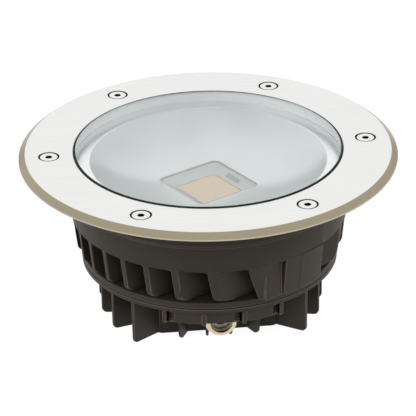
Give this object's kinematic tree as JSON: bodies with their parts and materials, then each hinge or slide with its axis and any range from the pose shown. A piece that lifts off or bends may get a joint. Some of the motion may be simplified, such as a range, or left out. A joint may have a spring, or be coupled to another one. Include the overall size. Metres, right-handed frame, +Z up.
{
  "type": "recessed in-ground light",
  "caption": "Round recessed in-ground LED light: steel trim ring and clear glass over a satin reflector, finned cast housing, driver base with feet and a side cable gland.",
  "frame": {"origin": "centre of the underside of the base, on the light's axis", "axes": "+Z up along the light's axis, the way it shines; the cable gland leaves along -Y; +X to the right seen from the gland"},
  "size_m": [0.27, 0.27, 0.1256],
  "materials": {
    "steel": "fine brushed stainless steel",
    "screw_steel": "plain stainless steel",
    "glass": "clear tempered, faint green at the edge",
    "silicone": "light grey silicone",
    "reflector": "satin anodised",
    "holder": "moulded, light grey",
    "emitter": "cream phosphor layer",
    "led_board": "white solder mask on aluminium",
    "thermal_pad": "soft grey pad",
    "casting": "die cast, warm charcoal powder coat",
    "black_rubber": "black moulded rubber",
    "wire": "smooth insulation",
    "driver_plastic": "moulded, off white",
    "circuit_board": "green solder mask",
    "transformer": "yellow tape wrap",
    "capacitor": "dark sleeve",
    "terminal": "moulded, white",
    "earth_brass": "plain brass",
    "nickel": "nickel plated, warm tint",
    "claw": "plain turned steel"
  },
  "bodies": {
    "light": {"trim_ring": "steel", "trim_screws": "screw_steel", "lens_glass": "glass", "lens_gasket": "silicone", "reflector": "reflector", "led_holder": "holder", "holder_screws": "screw_steel", "led_emitter": "emitter", "led_board": "led_board", "thermal_pad": "thermal_pad", "upper_housing": "casting", "lead_grommet": "black_rubber", "led_leads": "wire", "body_gasket": "black_rubber", "body_screws": "screw_steel", "base_housing": "casting", "driver_case": "driver_plastic", "driver_lid": "driver_plastic", "driver_board": "circuit_board", "driver_transformer": "transformer", "driver_capacitors": "capacitor", "driver_screws": "screw_steel", "terminal_block": "terminal", "terminal_screws": "screw_steel", "clamp_screws": "screw_steel", "supply_leads": "wire", "earth_washer": "earth_brass", "earth_screw": "earth_brass", "gland_washer": "black_rubber", "gland_body": "nickel", "gland_locknut": "nickel", "gland_seal": "black_rubber"},
    "gland_slip_ring": {"gland_claw": "claw"},
    "gland_dome_nut": {"gland_nut": "nickel"}
  },
  "joints": [
    {"name": "gland_backoff", "type": "slide", "parent": "light", "child": "gland_slip_ring", "axis": [0, -1, 0], "range_m": [0, 0.006]},
    {"name": "gland_nut_turn", "type": "hinge", "parent": "gland_slip_ring", "child": "gland_dome_nut", "pos_m": [0, -0.06, 0.0207], "axis": [0, -1, 0], "range_deg": [0, 1440]}
  ],
  "couplings": [
    {"joint": "gland_backoff", "follows": "gland_nut_turn", "m_per_rad": 0.00023873}
  ]
}
